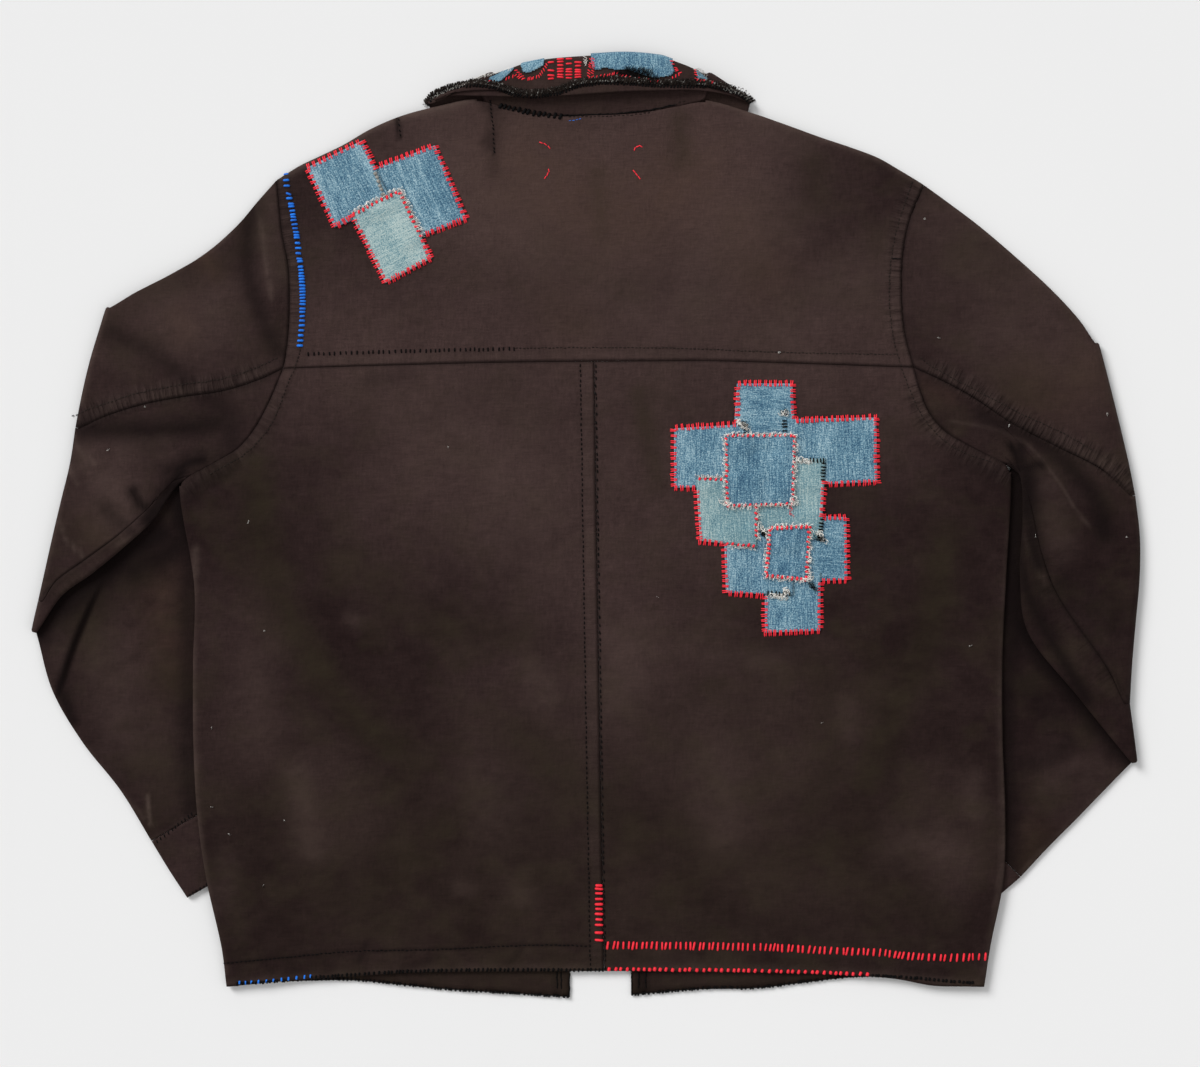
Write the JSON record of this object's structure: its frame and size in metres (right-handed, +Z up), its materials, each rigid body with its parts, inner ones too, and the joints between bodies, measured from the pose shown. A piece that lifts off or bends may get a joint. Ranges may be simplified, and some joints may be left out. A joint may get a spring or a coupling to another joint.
{
  "type": "patched work jacket",
  "caption": "Dark brown work jacket with denim patches, laid flat on its front with both sleeves folded under, seen from the back.",
  "frame": {"origin": "middle of the laid-out jacket, on the surface that it lies on", "axes": "+X to the right across the back, +Y towards the collar, +Z up out of the surface"},
  "size_m": [0.8887, 0.7581, 0.0147],
  "materials": {
    "moleskin": "matt brushed dark brown cotton moleskin, worn, with faint stains and lint",
    "collar_cloth": "the same moleskin on the collar, frayed at the edge",
    "mid_denim": "washed mid-blue denim twill with frayed white edges",
    "pale_denim": "bleached pale blue-grey denim twill"
  },
  "bodies": {
    "root": {"back_left": "moleskin", "back_right": "moleskin", "yoke": "moleskin", "front_left": "moleskin", "front_right": "moleskin", "sleeve_left_top": "moleskin", "sleeve_left_under": "moleskin", "sleeve_right_top": "moleskin", "sleeve_right_under": "moleskin", "cuff_left": "moleskin", "cuff_right": "moleskin", "collar_under": "collar_cloth", "collar_top": "collar_cloth", "patch_shoulder_01": "mid_denim", "patch_shoulder_02": "mid_denim", "patch_back_01": "mid_denim", "patch_back_02": "mid_denim", "patch_back_03": "mid_denim", "patch_back_05": "mid_denim", "patch_back_06": "mid_denim", "patch_back_07": "mid_denim", "patch_back_09": "mid_denim", "patch_back_10": "mid_denim", "patch_collar_1": "mid_denim", "patch_collar_2": "mid_denim", "patch_collar_3": "mid_denim", "patch_collar_4": "mid_denim", "patch_shoulder_03": "pale_denim", "patch_back_04": "pale_denim", "patch_back_08": "pale_denim"}
  },
  "joints": []
}
